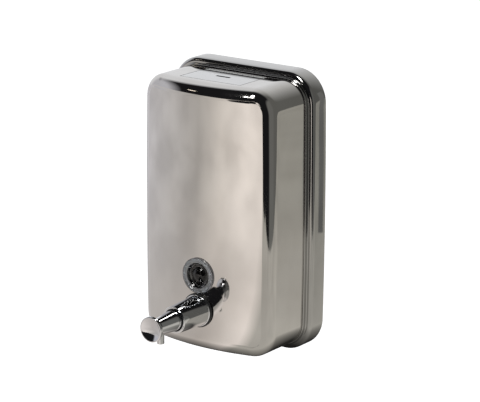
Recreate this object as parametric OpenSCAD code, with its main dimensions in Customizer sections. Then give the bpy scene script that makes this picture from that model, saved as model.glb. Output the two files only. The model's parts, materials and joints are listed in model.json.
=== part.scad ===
// Wall mounted soap dispenser: a drawn stainless tank on a shallow wall skirt, with a
// lockable filler lid, a round contents window and a push valve.
// Origin at the wall plane, in the middle of the four wall screws. +Z up, front towards -Y.

/* [Wall skirt] */
// Width of the skirt, the widest part of the dispenser
skirt_w = 125; // [118:1:135]
// Height of the skirt, the tallest part of the dispenser
skirt_h = 206; // [204:1:225]
// Depth of the skirt, from the wall to its shoulder
skirt_d = 15.7; // [15.5:0.1:16]
// Corner radius of the skirt's outline
skirt_r = 23; // [20:0.5:28]
// Rounding of the skirt's shoulder
shoulder_r = 3; // [2:0.5:3.5]
// Length of the thin collar that grips the front shell
collar_len = 3.5; // [2:0.1:4]
// Thickness of the drawn steel sheet
sheet = 1; // [0.8:0.1:1.1]

/* [Front shell] */
// Step from the skirt's outline in to the front shell's
shell_inset = 5.2; // [5:0.1:5.6]
// Depth of the face at its left and right edges
face_edge_d = 57.4; // [57:0.1:60]
// How far the middle of the face bows out beyond its edges
face_bow = 10.8; // [9.5:0.1:11.5]
// Rounding between the face and the four sides
face_r = 9; // [8:0.25:10]

/* [Filler lid] */
// Width of the filler opening
opening_w = 52.6; // [48:0.2:56]
// Distance from the wall to the rear edge of the opening
opening_rear = 22.1; // [21.5:0.1:22.5]
// Length of the opening, from its rear edge to its front edge
opening_len = 33; // [31:0.2:33.2]
// Gap between the lid and the opening
lid_gap = 0.5; // [0.3:0.05:0.7]
// Thickness of the lid plate
lid_t = 0.9; // [0.7:0.1:0.9]
// Number of hinge knuckles, an odd number
knuckles = 11; // [7:2:13]
// Length of the key slot in the lid
key_slot_w = 12; // [8:0.5:14]

/* [Contents window] */
// Height of the window's centre, measured from the wall screws' centre
window_z = -41.7; // [-41.7:0.1:-20]
// Radius of the window's flange
window_r = 13; // [11.5:0.1:13]
// Radius of the threaded body behind the flange
window_body_r = 9; // [8:0.1:9.5]

/* [Push valve] */
// Height of the valve's axis, measured from the wall screws' centre
valve_z = -67.5; // [-69:0.1:-67.5]
// Radius of the barrel at its front rim
barrel_front_r = 9.8; // [9.5:0.1:10.4]
// Radius of the barrel at its rear flange
barrel_rear_r = 11.1; // [10.8:0.1:11.4]
// Distance from the face to the barrel's front rim
barrel_len = 28.9; // [27.9:0.1:30.9]
// Radius of the plunger's neck where it leaves the barrel
neck_r = 7.45; // [7.3:0.05:7.5]
// Radius of the push cap
cap_r = 9.2; // [8.5:0.1:10]
// How far the cap travels when it is pushed
stroke = 11; // [8:0.5:11]
// Radius of the outlet spout
spout_r = 2.6; // [2.3:0.1:2.8]
// How far the spout reaches below the valve's axis
spout_drop = 13.2; // [11:0.1:16]

/* [Wall fixing] */
// Distance between the wall screws across the bracket
screw_dx = 50; // [40:1:54]
// Distance between the wall screws up the bracket
screw_dz = 80; // [60:1:90]
// Radius of the wall screw holes
screw_hole_r = 2.75; // [2.25:0.05:3]

/* [Hidden] */
$fn = 64;
hull_fn = 32;
eps = 0.05;

// front shell
shell_w = skirt_w - 2 * shell_inset;
shell_h = skirt_h - 2 * shell_inset;
shell_r = skirt_r - shell_inset;
shell_rear_d = skirt_d - sheet;
top_z = shell_h / 2;
face_d = face_edge_d + face_bow;
bow_r = (pow(shell_w / 2, 2) + pow(face_bow, 2)) / (2 * face_bow);
back_flange = 1.5;
weld_gap = 0.08;
ledge_z = top_z - 2 * sheet - weld_gap;

// lid and hinge
opening_front = opening_rear + opening_len;
knuckle_r = 1.6;
pin_r = 0.75;
pin_play = 0.05;
hinge_gap = 0.7;
hinge_d = opening_rear + hinge_gap + knuckle_r;
hinge_z = top_z - knuckle_r;
knuckle_gap = 0.3;
leaf_t = 1;
tab_len = 2.2;
tank_leaf_len = 4.6;
lid_half_w = opening_w / 2 - lid_gap;
lid_rear = hinge_d + knuckle_r + knuckle_gap;
lid_front = opening_front - lid_gap;
under_lid_z = top_z - lid_t;
lid_leaf_len = 11.5;
lid_leaf_half_w = 22.6;
pitch = 2 * lid_half_w / knuckles;
ledge_side = 23.3;
ledge_outer = 29.5;
ledge_strip = 3.6;
catch_w = 13;
catch_t = 0.6;
rivet_x = 4;
rivet_d = lid_rear + 5.2;
rivet_r = 1;
rivet_head_r = 1.8;
rivet_head_t = 0.7;
slot_notch = 3;
key_slot_d = 38.8;
key_slot_t = 2.6;

// contents window
window_gasket_t = 0.3;
window_flange_t = 1.1;
window_body_len = 9;
window_wall = 2.4;
window_pane_len = 4;
window_nut_t = 3;
window_nut_wall = 3;
eye_r = 6;
eye_round = 8.5;
eye_steps = 6;

// valve stack, as distances from the wall
seat_gap = 0.8;
gasket_t = 1.2;
gasket_lip = 0.9;
barrel_flange_t = 1;
barrel_flange_r = barrel_rear_r + 0.6;
barrel_flange_d = face_d + gasket_t;
barrel_front_d = face_d + barrel_len;
tail_r = 9;
tail_end_d = face_d - 11;
valve_hole_r = tail_r + 0.2;
guide_r = 7.95;
guide_play = 0.05;
lip_len = 2.3;
wiper_t = 1.8;
wiper_r = 8.3;
guide_front_d = barrel_front_d - wiper_t - lip_len - 0.1;
guide_len = 6;
spout_gap = 1.5;
spout_d = barrel_front_d + spout_gap + stroke + spout_r;
cap_rim_d = spout_d + 11.7;
cap_side = 2.6;
cap_dish = 2.1;
cap_lip = 0.8;
neck_front_r = 5.6;
neck_front_d = cap_rim_d - 6.4;
stem_r = 4;
spigot_r = 3;
spigot_len = 2.8;
channel_r = 1.2;
neck_straight = 3.4;
neck_straight_d = barrel_front_d + neck_straight;

// pump inside the tank
washer_t = 1.2;
washer_r = 12.5;
nut_t = 4;
nut_flats = 24;
bore_r = 6.5;
pump_wall = 2;
pump_rear_d = shell_rear_d + 7;
pump_floor_d = pump_rear_d + 4;
socket_r = 11;
socket_len = 8;
piston_front_d = tail_end_d - 2;
piston_len = 10;
piston_spigot = 4;
piston_play = 0.3;
ball_play = 0.4;
ball_gap = 0.03;
spring_gap = 0.05;
piston_rear_d = piston_front_d - piston_len;
seal_r = 1;
spring_seat_t = 1;
spring_wire_r = 0.4;
spring_coil_r = 4.6;
spring_turns = 5;
ball_chamber_r = 2.6;
inlet_ball_r = 2;
inlet_hole_r = 1.4;
inlet_seat_d = pump_rear_d - 0.5;
inlet_spigot_r = 4.5;
inlet_block_r = 6;
inlet_block_d = shell_rear_d + 0.5;
port_d = shell_rear_d + 3.6;
outlet_ball_r = 1.5;
outlet_hole_r = 1;
outlet_seat_d = piston_rear_d + 2;
tube_r = 2.5;
tube_bore_r = 1.6;
tube_boss_r = tube_r + 0.8;
tube_top = 7;
tube_socket = 4;
tube_foot_z = -shell_h / 2 + sheet + 3;

// wall bracket and hanger
bracket_t = 1.5;
bracket_half_w = 35;
bracket_top = 60;
foot_z = -skirt_h / 2 + 9;
foot_half_w = 9;
tongue_half_w = 30;
tongue_d = 5;
tongue_h = 15;
rail_half_w = 32;
rail_lip_d = 2.4;
rail_hook_h = 12;
rail_weld_h = 14;
foot_gap = 2.5;
lock_d = 7.5;
lock_r = 2;
lock_hole_r = 2.3;
lock_len = 13;
lock_head_r = 3.6;
lock_head_t = 2.2;
lock_socket_r = 1.5;

// Draws children with local z as the distance from the wall and local y as height.
module from_wall(height = 0, depth = 0)
  rotate([90, 0, 0])
    translate([0, height, depth])
      children();

// Draws a two-dimensional (distance from the wall, height) profile, centred across x.
module across(w)
  translate([-w / 2, 0, 0])
    rotate([90, 0, 90])
      mirror([1, 0, 0])
        linear_extrude(w)
          children();

module rounded_rect(w, h, r)
  union() {
    square([w - 2 * r, h], center = true);
    square([w, h - 2 * r], center = true);
    for (sx = [-1, 1], sy = [-1, 1])
      translate([sx * (w / 2 - r), sy * (h / 2 - r)])
        circle(r);
  }

module ring(outer_r, inner_r, depth, len)
  translate([0, 0, depth])
    difference() {
      cylinder(r = outer_r, h = len);
      translate([0, 0, -eps])
        cylinder(r = inner_r, h = len + 2 * eps);
    }

// Sweeps a profile round a rounded rectangle. The profile's x is the offset from the
// outline, negative inwards, and its y is the distance from the wall.
module sweep_outline(w, h, r) {
  for (turn = [0, 1]) {
    rotate(180 * turn) {
      translate([w / 2, h / 2 - r, 0])
        rotate([90, 0, 0])
          linear_extrude(h - 2 * r)
            children();
      rotate(90)
        translate([h / 2, w / 2 - r, 0])
          rotate([90, 0, 0])
            linear_extrude(w - 2 * r)
              children();
      translate([w / 2 - r, h / 2 - r, 0])
        rotate_extrude(angle = 90)
          translate([r, 0])
            children();
      rotate(90)
        translate([h / 2 - r, w / 2 - r, 0])
          rotate_extrude(angle = 90)
            translate([r, 0])
              children();
    }
  }
}

// ---- wall fixing ----

module wall_bracket()
  color("silver")
    difference() {
      union() {
        from_wall()
          translate([-bracket_half_w, foot_z, 0])
            cube([2 * bracket_half_w, bracket_top - foot_z, bracket_t]);
        across(2 * tongue_half_w)
          translate([0, bracket_top - bracket_t])
            square([tongue_d + bracket_t, bracket_t]);
        across(2 * tongue_half_w)
          translate([tongue_d, bracket_top - bracket_t])
            square([bracket_t, tongue_h + bracket_t]);
        across(2 * foot_half_w)
          translate([0, foot_z])
            square([skirt_d - sheet - foot_gap, bracket_t]);
      }
      for (sx = [-1, 1], sz = [-1, 1])
        from_wall(sz * screw_dz / 2, -eps)
          translate([sx * screw_dx / 2, 0, 0])
            cylinder(r = screw_hole_r, h = bracket_t + 2 * eps);
      translate([0, -lock_d, foot_z - eps])
        cylinder(r = lock_r, h = bracket_t + 2 * eps);
    }

module hanger_rail() {
  leg_z = bracket_top + tongue_h;
  color("silver")
    across(2 * rail_half_w)
      union() {
        translate([rail_lip_d, leg_z])
          square([shell_rear_d - sheet - rail_lip_d, leaf_t]);
        translate([rail_lip_d, leg_z - rail_hook_h])
          square([leaf_t, rail_hook_h + leaf_t]);
        translate([shell_rear_d - sheet - leaf_t, leg_z])
          square([leaf_t, rail_weld_h]);
      }
}

module lock_screw()
  color("silver")
    translate([0, -lock_d, -skirt_h / 2])
      difference() {
        union() {
          cylinder(r = lock_r, h = lock_len);
          translate([0, 0, -lock_head_t])
            cylinder(r = lock_head_r, h = lock_head_t);
        }
        translate([0, 0, -lock_head_t - eps])
          cylinder(r = lock_socket_r, h = lock_socket_r, $fn = 6);
      }

// ---- shells ----

module skirt_profile() {
  straight = skirt_d - shoulder_r;
  collar_t = sheet * 0.8;
  union() {
    translate([-sheet, 0])
      square([sheet, straight]);
    intersection() {
      translate([-shoulder_r, straight])
        difference() {
          circle(shoulder_r);
          circle(shoulder_r - sheet);
        }
      translate([-shoulder_r, straight])
        square(shoulder_r);
    }
    translate([-shell_inset, skirt_d - sheet])
      square([shell_inset - shoulder_r, sheet]);
    translate([-shell_inset, skirt_d - sheet])
      square([collar_t, collar_len + sheet - collar_t / 2]);
    translate([-shell_inset + collar_t / 2, skirt_d + collar_len - collar_t / 2])
      circle(collar_t / 2, $fn = 24);
  }
}

module rear_shell()
  color("lightgray")
    difference() {
      from_wall()
        sweep_outline(skirt_w, skirt_h, skirt_r)
          skirt_profile();
      translate([0, -lock_d, -skirt_h / 2 - eps])
        cylinder(r = lock_hole_r, h = sheet + 2 * eps);
    }

module tank_back()
  color("silver")
    from_wall(0, shell_rear_d - sheet)
      linear_extrude(sheet)
        rounded_rect(shell_w + 2 * back_flange, shell_h + 2 * back_flange,
                     shell_r + back_flange);

// Depth that the bowed face loses at a distance x from the middle.
function bow_drop(x) = bow_r - sqrt(pow(bow_r, 2) - pow(x, 2));

// Outer form of the front shell, shrunk by t all round.
module shell_form(t, rear) {
  r = face_r - t;
  side = shell_w / 2 - t;
  up = shell_h / 2 - t;
  corner = shell_r - t - r;
  hull() {
    translate([0, 0, rear])
      linear_extrude(eps)
        rounded_rect(2 * side, 2 * up, shell_r - t, $fn = hull_fn * 2);
    for (sx = [-1, 1], sy = [-1, 1], a = [0:22.5:90]) {
      x = side - r - corner * (1 - cos(a));
      y = up - r - corner * (1 - sin(a));
      translate([sx * x, sy * y, face_d - t - bow_drop(x + r * 0.4) - r])
        sphere(r, $fn = hull_fn);
    }
    for (i = [-2:2], sy = [-1, 1]) {
      x = i * side / 4;
      translate([x, sy * (up - r), face_d - t - bow_drop(x) - r])
        sphere(r, $fn = hull_fn);
    }
  }
}

module front_shell() {
  hole_from = face_d - 4;
  hole_len = 6;
  color("gainsboro")
    difference() {
      from_wall()
        shell_form(0, shell_rear_d);
      from_wall()
        shell_form(sheet, shell_rear_d - 1);
      translate([-opening_w / 2, -opening_front, top_z - 2 * sheet])
        cube([opening_w, opening_len, 3 * sheet]);
      from_wall(window_z, hole_from)
        cylinder(r = window_body_r + 0.2, h = hole_len);
      from_wall(valve_z, hole_from)
        cylinder(r = valve_hole_r, h = hole_len);
    }
}

module filler_ledge()
  color("silver")
    translate([0, 0, ledge_z])
      difference() {
        translate([-ledge_outer, -opening_front + 0.1, 0])
          cube([2 * ledge_outer, opening_front - lid_rear - 1.5, sheet]);
        translate([-ledge_side, -opening_front + ledge_strip, -eps])
          cube([2 * ledge_side, opening_len, sheet + 2 * eps]);
      }

// ---- lid ----

module hinge_axis(x, len)
  translate([x, -hinge_d, hinge_z])
    rotate([0, 90, 0])
      cylinder(r = pin_r, h = len, $fn = 32);

// Knuckles number first, first + 2, ... of the hinge, each with a tab to one side.
module knuckle_row(first, tab_side, play) {
  len = pitch - knuckle_gap;
  tab_top = tab_side > 0 ? under_lid_z : top_z - sheet;
  for (i = [first:2:knuckles - 1]) {
    x = -lid_half_w + i * pitch + knuckle_gap / 2;
    translate([x, -hinge_d, hinge_z])
      rotate([0, 90, 0])
        difference() {
          union() {
            cylinder(r = knuckle_r, h = len, $fn = 32);
            translate([hinge_z - tab_top, tab_side > 0 ? -tab_len : 0, 0])
              cube([leaf_t, tab_len, len]);
          }
          translate([0, 0, -eps])
            cylinder(r = pin_r + play, h = len + 2 * eps, $fn = 32);
        }
  }
}

module tank_leaf()
  color("silver")
    union() {
      knuckle_row(0, -1, 0);
      translate([-lid_half_w, -hinge_d + knuckle_r + knuckle_gap, ledge_z])
        cube([2 * lid_half_w, tank_leaf_len, leaf_t]);
    }

module hinge_pin()
  color("silver")
    hinge_axis(-lid_half_w, 2 * lid_half_w);

module lid_leaf()
  color("silver")
    difference() {
      union() {
        knuckle_row(1, 1, pin_play);
        translate([-lid_leaf_half_w, -lid_rear - lid_leaf_len, under_lid_z - leaf_t])
          cube([2 * lid_leaf_half_w, lid_leaf_len, leaf_t]);
      }
      rivet_holes(under_lid_z - leaf_t);
      translate([-key_slot_w / 2 - 1, -lid_rear - lid_leaf_len - eps,
                 under_lid_z - 2 * leaf_t])
        cube([key_slot_w + 2, slot_notch, 3 * leaf_t]);
    }

module filler_lid()
  color("gainsboro")
    difference() {
      translate([-lid_half_w, -lid_front, under_lid_z])
        cube([2 * lid_half_w, lid_front - lid_rear, lid_t]);
      translate([-key_slot_w / 2, -key_slot_d - key_slot_t / 2, under_lid_z - eps])
        cube([key_slot_w, key_slot_t, lid_t + 2 * eps]);
    }

module rivet_holes(z)
  for (sx = [-1, 1])
    translate([sx * rivet_x, -rivet_d, z - eps])
      cylinder(r = rivet_r, h = leaf_t + 2 * eps, $fn = 24);

// Unit normal of segment i of a strip's centre line.
function strip_normal(points, i) =
  let (step = points[i + 1] - points[i])
  [-step[1], step[0]] / norm(step);

// Corner i of the strip, mitred, at a distance s to one side of the centre line.
function strip_corner(points, i, s) =
  let (last = len(points) - 1,
       before = strip_normal(points, max(i - 1, 0)),
       after = strip_normal(points, min(i, last - 1)))
  points[i] + s * (before + after) / (1 + before * after);

// Bent flat strip through a list of (distance from the wall, height) points.
module bent_strip(points, t) {
  last = len(points) - 1;
  polygon(concat(
    [for (i = [0:last]) strip_corner(points, i, t / 2)],
    [for (i = [0:last]) strip_corner(points, last - i, -t / 2)]
  ));
}

module latch_spring() {
  z = under_lid_z - leaf_t - catch_t / 2;
  low_z = z - 4;
  foot = 3;
  hook_d = opening_front - ledge_strip + 0.1;
  bend_d = hook_d - 3.5;
  heel_d = hook_d - 1.2;
  neck_d = hook_d - 0.8;
  tip_d = hook_d + 1.6;
  color("silver")
    difference() {
      across(catch_w)
        bent_strip([
          [rivet_d - foot, z],
          [rivet_d + foot, z],
          [bend_d, low_z],
          [heel_d, low_z],
          [neck_d, z - catch_t],
          [tip_d, z - 1.5 * catch_t]
        ], catch_t);
      rivet_holes(z - leaf_t / 2);
    }
}

module latch_rivets()
  color("gray")
    for (sx = [-1, 1])
      translate([sx * rivet_x, -rivet_d, under_lid_z - leaf_t - catch_t])
        union() {
          cylinder(r = rivet_r, h = leaf_t + catch_t, $fn = 24);
          translate([0, 0, -rivet_head_t])
            cylinder(r = rivet_head_r, h = rivet_head_t, $fn = 24);
        }

// ---- contents window ----

module window_gasket()
  color("dimgray")
    from_wall(window_z)
      ring(window_r - 0.3, window_body_r + 0.1, face_d, window_gasket_t);

// A stepped dish with a raised bullseye in its middle.
module window_lens() {
  bore = window_body_r - window_wall;
  rear = face_d - window_body_len;
  pane = face_d - window_pane_len;
  back = face_d + window_gasket_t;
  front = back + window_flange_t;
  edge = 0.3;
  rim_w = 1.6;
  groove = [window_r - 2.4, front - 0.6];
  bead = [window_r - 3.2, front - 0.4];
  trough = [window_r - 5, front - 1.8];
  floor_d = front - 2.4;
  eye_edge = asin(eye_r / eye_round);
  color("lightblue")
    from_wall(window_z)
      rotate_extrude()
        polygon(concat(
          [[0, pane], [bore, pane], [bore, rear], [window_body_r, rear],
           [window_body_r, back], [window_r, back], [window_r, front - edge],
           [window_r - edge, front], [window_r - rim_w, front],
           groove, bead, trough, [eye_r, floor_d]],
          [for (i = [1:eye_steps])
            let (a = eye_edge * (1 - i / eye_steps))
            [eye_round * sin(a), floor_d + eye_round * (cos(a) - cos(eye_edge))]]
        ));
}

module window_nut()
  color("white")
    from_wall(window_z)
      ring(window_body_r + window_nut_wall, window_body_r,
           face_d - sheet - seat_gap - window_nut_t, window_nut_t);

// ---- push valve ----

module valve_gasket()
  color("black")
    from_wall(valve_z)
      ring(barrel_flange_r + gasket_lip, tail_r, face_d, gasket_t);

module valve_barrel() {
  front = barrel_front_d;
  flange = barrel_flange_d;
  color("silver")
    from_wall(valve_z)
      rotate_extrude()
        polygon([
          [guide_r + guide_play, tail_end_d], [tail_r, tail_end_d], [tail_r, flange],
          [barrel_flange_r, flange], [barrel_flange_r, flange + barrel_flange_t],
          [barrel_rear_r, flange + barrel_flange_t], [barrel_front_r, front - 1],
          [barrel_front_r - 0.3, front - 0.3], [barrel_front_r - 1, front],
          [wiper_r, front], [wiper_r, front - wiper_t],
          [neck_r + guide_play, front - wiper_t],
          [neck_r + guide_play, front - wiper_t - lip_len],
          [guide_r + guide_play, front - wiper_t - lip_len]
        ]);
}

module wiper_ring()
  color("black")
    from_wall(valve_z)
      ring(wiper_r, neck_r + guide_play, barrel_front_d - wiper_t, wiper_t - 0.5);

module inner_washer()
  color("dimgray")
    from_wall(valve_z)
      ring(washer_r, tail_r, face_d - sheet - seat_gap - washer_t, washer_t);

module valve_nut()
  color("goldenrod")
    from_wall(valve_z, face_d - sheet - seat_gap - washer_t - nut_t)
      difference() {
        cylinder(r = nut_flats / 2 / cos(30), h = nut_t, $fn = 6);
        translate([0, 0, -eps])
          cylinder(r = tail_r, h = nut_t + 2 * eps);
      }

module pump_cylinder() {
  shoulder = tail_end_d - socket_len / 2;
  color("white")
    from_wall(valve_z)
      rotate_extrude()
        polygon([
          [inlet_spigot_r, pump_rear_d], [bore_r + pump_wall, pump_rear_d],
          [bore_r + pump_wall, shoulder], [socket_r, shoulder],
          [socket_r, shoulder + socket_len], [tail_r, shoulder + socket_len],
          [tail_r, tail_end_d], [bore_r, tail_end_d],
          [bore_r, pump_floor_d], [inlet_spigot_r, pump_floor_d]
        ]);
}

module plunger() {
  stem_rear = piston_front_d;
  spigot_rear = piston_front_d - piston_spigot;
  guide_rear = guide_front_d - guide_len;
  color("silver")
    from_wall(valve_z)
      difference() {
        rotate_extrude()
          polygon([
            [channel_r, spigot_rear], [spigot_r, spigot_rear], [spigot_r, stem_rear],
            [stem_r, stem_rear], [stem_r, guide_rear], [guide_r, guide_rear],
            [guide_r, guide_front_d], [neck_r, guide_front_d],
            [neck_r, neck_straight_d], [neck_front_r, neck_front_d],
            [spigot_r, neck_front_d], [spigot_r, neck_front_d + spigot_len],
            [0, neck_front_d + spigot_len],
            [0, spout_d + channel_r], [channel_r, spout_d + channel_r]
          ]);
        translate([0, 0, spout_d])
          rotate([90, 0, 0])
            cylinder(r = spout_r, h = 3 * neck_r);
      }
}

module push_cap() {
  hub = neck_front_d;
  side = cap_rim_d - cap_side;
  dish_edge_r = cap_r - cap_lip;
  dish_r = (pow(dish_edge_r, 2) + pow(cap_dish, 2)) / (2 * cap_dish);
  dish_a = asin(dish_edge_r / dish_r);
  color("silver")
    from_wall(valve_z)
      rotate_extrude()
        polygon(concat(
          [[0, hub + spigot_len], [spigot_r, hub + spigot_len], [spigot_r, hub],
           [neck_front_r + 0.5, hub], [neck_front_r + 0.9, hub + 1.2],
           [neck_front_r + 1.2, hub + 2.2], [cap_r - 0.6, side],
           [cap_r, side + 0.6], [cap_r, cap_rim_d - cap_lip / 2]],
          [for (i = [0:8])
            let (a = dish_a * (1 - i / 8))
            [dish_r * sin(a), cap_rim_d - cap_dish + dish_r * (1 - cos(a))]]
        ));
}

module spout()
  color("silver")
    translate([0, -spout_d, valve_z - spout_drop])
      difference() {
        cylinder(r = spout_r, h = spout_drop - channel_r);
        translate([0, 0, -eps])
          cylinder(r = tube_bore_r, h = spout_drop);
      }

// ---- pump ----

module piston() {
  mid = piston_rear_d + piston_len / 2;
  land_r = bore_r - piston_play;
  groove_r = bore_r - guide_play - 2 * seal_r;
  chamber_r = outlet_ball_r + ball_play;
  socket_d = piston_front_d - piston_spigot;
  color("white")
    from_wall(valve_z)
      rotate_extrude()
        polygon([
          [outlet_hole_r, piston_rear_d], [land_r, piston_rear_d],
          [land_r, mid - seal_r], [groove_r, mid - seal_r],
          [groove_r, mid + seal_r], [land_r, mid + seal_r],
          [land_r, piston_front_d], [spigot_r, piston_front_d],
          [spigot_r, socket_d], [chamber_r, socket_d],
          [chamber_r, outlet_seat_d], [outlet_hole_r, outlet_seat_d]
        ]);
}

module piston_seal()
  color("black")
    from_wall(valve_z, piston_rear_d + piston_len / 2)
      rotate_extrude()
        translate([bore_r - guide_play - seal_r, 0])
          circle(seal_r, $fn = 24);

// Distance from a round seat's plane to the centre of a ball that rests on it.
function ball_rise(ball_r, hole_r) = sqrt(pow(ball_r, 2) - pow(hole_r, 2)) + ball_gap;

module outlet_ball()
  color("silver")
    from_wall(valve_z, outlet_seat_d + ball_rise(outlet_ball_r, outlet_hole_r))
      sphere(outlet_ball_r, $fn = 32);

module spring_seat()
  color("silver")
    from_wall(valve_z)
      ring(bore_r, inlet_hole_r, pump_floor_d, spring_seat_t);

module return_spring() {
  sides = 8;
  per_turn = 18;
  rings = spring_turns * per_turn;
  from_d = pump_floor_d + spring_seat_t + spring_wire_r + spring_gap;
  to_d = piston_rear_d - spring_wire_r - spring_gap;
  points = [
    for (i = [0:rings], k = [0:sides - 1])
      let (a = 360 * i / per_turn, b = 360 * k / sides,
           r = spring_coil_r + spring_wire_r * cos(b))
      [r * cos(a), r * sin(a),
       from_d + (to_d - from_d) * i / rings + spring_wire_r * sin(b)]
  ];
  walls = [
    for (i = [0:rings - 1], k = [0:sides - 1])
      let (n = (k + 1) % sides)
      [i * sides + k, i * sides + n, (i + 1) * sides + n, (i + 1) * sides + k]
  ];
  start_cap = [for (k = [0:sides - 1]) sides - 1 - k];
  end_cap = [for (k = [0:sides - 1]) rings * sides + k];
  color("silver")
    from_wall(valve_z)
      polyhedron(points, concat([start_cap], walls, [end_cap]), convexity = 10);
}

module inlet_seat()
  color("white")
    from_wall(valve_z)
      difference() {
        union() {
          translate([0, 0, pump_rear_d])
            cylinder(r = inlet_spigot_r, h = pump_floor_d - pump_rear_d);
          translate([0, 0, inlet_block_d])
            cylinder(r = inlet_block_r, h = pump_rear_d - inlet_block_d);
          translate([0, 0, port_d])
            rotate([90, 0, 0])
              cylinder(r = tube_boss_r, h = tube_top + tube_socket);
        }
        translate([0, 0, inlet_seat_d])
          cylinder(r = ball_chamber_r, h = pump_floor_d - inlet_seat_d + eps);
        translate([0, 0, port_d])
          cylinder(r = inlet_hole_r, h = inlet_seat_d - port_d + eps);
        translate([0, 0, port_d])
          rotate([90, 0, 0])
            cylinder(r = tube_bore_r, h = tube_top + tube_socket + eps);
        translate([0, -tube_top, port_d])
          rotate([90, 0, 0])
            cylinder(r = tube_r, h = tube_socket + eps);
      }

module inlet_ball()
  color("silver")
    from_wall(valve_z, inlet_seat_d + ball_rise(inlet_ball_r, inlet_hole_r))
      sphere(inlet_ball_r, $fn = 32);

module suction_tube()
  color("white")
    translate([0, -port_d, tube_foot_z])
      difference() {
        cylinder(r = tube_r, h = valve_z - tube_top - tube_foot_z);
        translate([0, 0, -eps])
          cylinder(r = tube_bore_r, h = valve_z - tube_foot_z);
      }

wall_bracket();
rear_shell();
tank_back();
hanger_rail();
lock_screw();
front_shell();
filler_ledge();
tank_leaf();
hinge_pin();
filler_lid();
lid_leaf();
latch_spring();
latch_rivets();
window_gasket();
window_lens();
window_nut();
valve_gasket();
valve_barrel();
wiper_ring();
inner_washer();
valve_nut();
pump_cylinder();
plunger();
push_cap();
spout();
piston();
piston_seal();
outlet_ball();
spring_seat();
return_spring();
inlet_seat();
inlet_ball();
suction_tube();
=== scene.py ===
"""Looks of a wall mounted soap dispenser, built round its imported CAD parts.

Shapes are given in millimetres in the CAD frame: x across, z up, and depth as the distance
in front of the wall plane y = 0. place() turns them into metres.
"""

import json
import math

import bmesh
import bpy
from mathutils import Matrix, Vector


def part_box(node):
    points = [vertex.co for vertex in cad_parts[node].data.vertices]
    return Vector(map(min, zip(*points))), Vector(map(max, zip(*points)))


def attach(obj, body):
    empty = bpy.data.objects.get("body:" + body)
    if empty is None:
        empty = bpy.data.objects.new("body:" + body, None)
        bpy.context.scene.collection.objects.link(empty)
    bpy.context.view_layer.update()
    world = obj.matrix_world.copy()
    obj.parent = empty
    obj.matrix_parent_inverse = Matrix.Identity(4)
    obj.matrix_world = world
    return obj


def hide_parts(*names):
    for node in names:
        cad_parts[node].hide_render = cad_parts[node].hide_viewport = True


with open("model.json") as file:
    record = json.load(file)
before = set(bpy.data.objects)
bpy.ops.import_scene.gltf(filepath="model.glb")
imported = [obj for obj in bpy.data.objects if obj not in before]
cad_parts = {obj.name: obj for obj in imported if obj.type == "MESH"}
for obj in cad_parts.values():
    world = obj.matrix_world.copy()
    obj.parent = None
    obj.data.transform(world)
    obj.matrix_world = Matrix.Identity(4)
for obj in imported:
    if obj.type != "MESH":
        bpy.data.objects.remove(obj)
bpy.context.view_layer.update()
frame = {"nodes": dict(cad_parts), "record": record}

MM = 0.001
TURN_STEPS = 128
FILLET_STEPS = 7
PRISM_CORNER_STEPS = 8
SMOOTH_ANGLE = math.radians(38)


def place(x, depth, z):
    """A point of the CAD frame in metres, from millimetres."""
    return Vector((x * MM, -depth * MM, z * MM))


def span(node):
    """A CAD node's extent in millimetres: half width, rear and front depth, low and high z."""
    lo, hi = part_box(node)
    return hi.x / MM, -hi.y / MM, -lo.y / MM, lo.z / MM, hi.z / MM


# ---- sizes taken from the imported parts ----

SKIRT_HALF_W, _, COLLAR_FRONT, _, SKIRT_TOP = span("rear_shell")
SHELL_HALF_W, SHELL_REAR, FACE_DEPTH, _, SHELL_TOP = span("front_shell")
LID_HALF_W, LID_REAR, LID_FRONT, LID_LOW, LID_TOP = span("filler_lid")
LENS_R, LENS_REAR, LENS_FRONT, _lens_low, _lens_top = span("window_lens")
LENS_Z = (_lens_low + _lens_top) / 2
GASKET_R, GASKET_REAR, GASKET_FRONT, _gasket_low, _gasket_top = span("valve_gasket")
VALVE_Z = (_gasket_low + _gasket_top) / 2
FLANGE_R, BARREL_REAR, BARREL_FRONT, _, _ = span("valve_barrel")
WIPER_R, WIPER_REAR, WIPER_FRONT, _, _ = span("wiper_ring")
GUIDE_R, PLUNGER_REAR, PLUNGER_FRONT, _, _ = span("plunger")
CAP_R, CAP_REAR, CAP_FRONT, _, _ = span("push_cap")
SPOUT_R, SPOUT_REAR, SPOUT_FRONT, SPOUT_LOW, SPOUT_TOP = span("spout")
SPOUT_DEPTH = (SPOUT_REAR + SPOUT_FRONT) / 2

SHEET = 1.0
COLLAR_T = 0.8
SKIRT_DEPTH = SHELL_REAR + SHEET
SKIRT_CORNER = 23.0
SHOULDER_R = 3.0
SHELL_INSET = SKIRT_HALF_W - SHELL_HALF_W
SHELL_CORNER = SKIRT_CORNER - SHELL_INSET
FACE_BOW = 10.8
FACE_FILLET = 9.0
BOW_R = (SHELL_HALF_W**2 + FACE_BOW**2) / (2 * FACE_BOW)
SIDE_BULGE = 1.1
SIDE_DRAFT = 0.6
OPENING_MARGIN = 0.5
OPENING_REAR = SHELL_REAR + 7.4
OPENING_CORNER = 0.8
HOLE_R = 9.2
KEY_SLOT_HALF_W = 6.0
KEY_SLOT_DEPTHS = (37.5, 40.1)
KEY_SLOT_CORNER = 0.3
LID_CORNER = 0.6
LID_EDGE = 0.15


# ---- mesh helpers ----


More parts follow.
